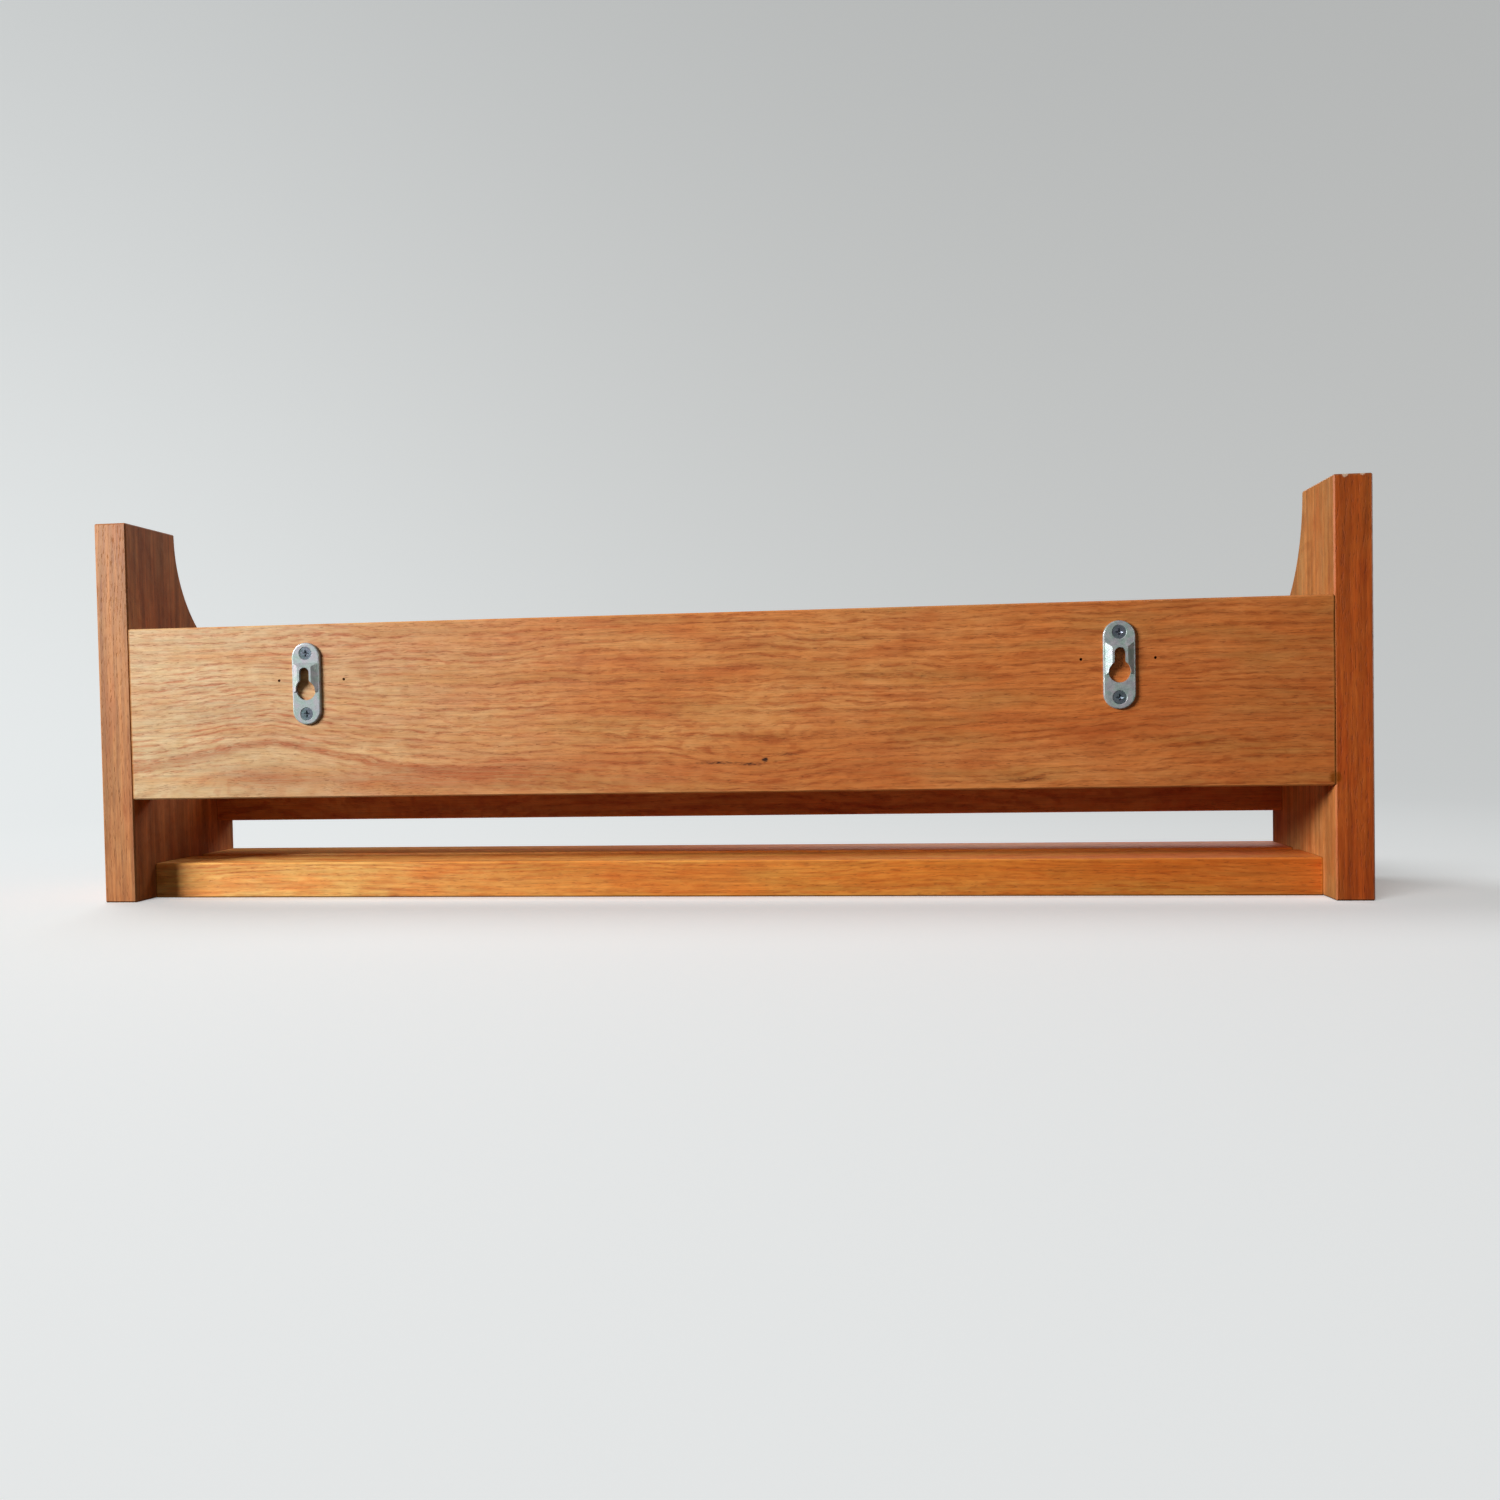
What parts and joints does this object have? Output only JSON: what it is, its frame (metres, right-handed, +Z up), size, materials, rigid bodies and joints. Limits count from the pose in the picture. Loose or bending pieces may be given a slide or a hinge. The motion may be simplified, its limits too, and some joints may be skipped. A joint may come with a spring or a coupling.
{
  "type": "wall plate rack",
  "caption": "Wall plate rack: scooped side boards joined by a back rail, a grooved shelf and a low front rail, hung on keyhole plates.",
  "frame": {"origin": "on the wall side, in the plane of the boards' back edges, midway between the centres of the two keyhole plates' entry holes", "axes": "+X along the rack, +Y to the wall, so the front faces -Y, and +Z up"},
  "size_m": [0.635, 0.1001, 0.1985],
  "materials": {
    "oak_side": "oiled oak, grain upright",
    "oak_rail": "oiled oak, grain along the rack",
    "oak_shelf": "oiled oak, grain along the rack",
    "dowel_wood": "plain beech",
    "zinc_plate": "bright zinc plating",
    "zinc_screw": "bright zinc plating"
  },
  "bodies": {
    "root": {"side_board_left": "oak_side", "side_board_right": "oak_side", "back_rail": "oak_rail", "shelf": "oak_shelf", "front_rail": "oak_rail", "back_rail_dowels_left": "dowel_wood", "back_rail_dowels_right": "dowel_wood", "shelf_dowels_left": "dowel_wood", "shelf_dowels_right": "dowel_wood", "front_rail_dowels_left": "dowel_wood", "front_rail_dowels_right": "dowel_wood", "keyhole_plate_left": "zinc_plate", "keyhole_plate_right": "zinc_plate", "plate_screws_left": "zinc_screw", "plate_screws_right": "zinc_screw"}
  },
  "joints": []
}
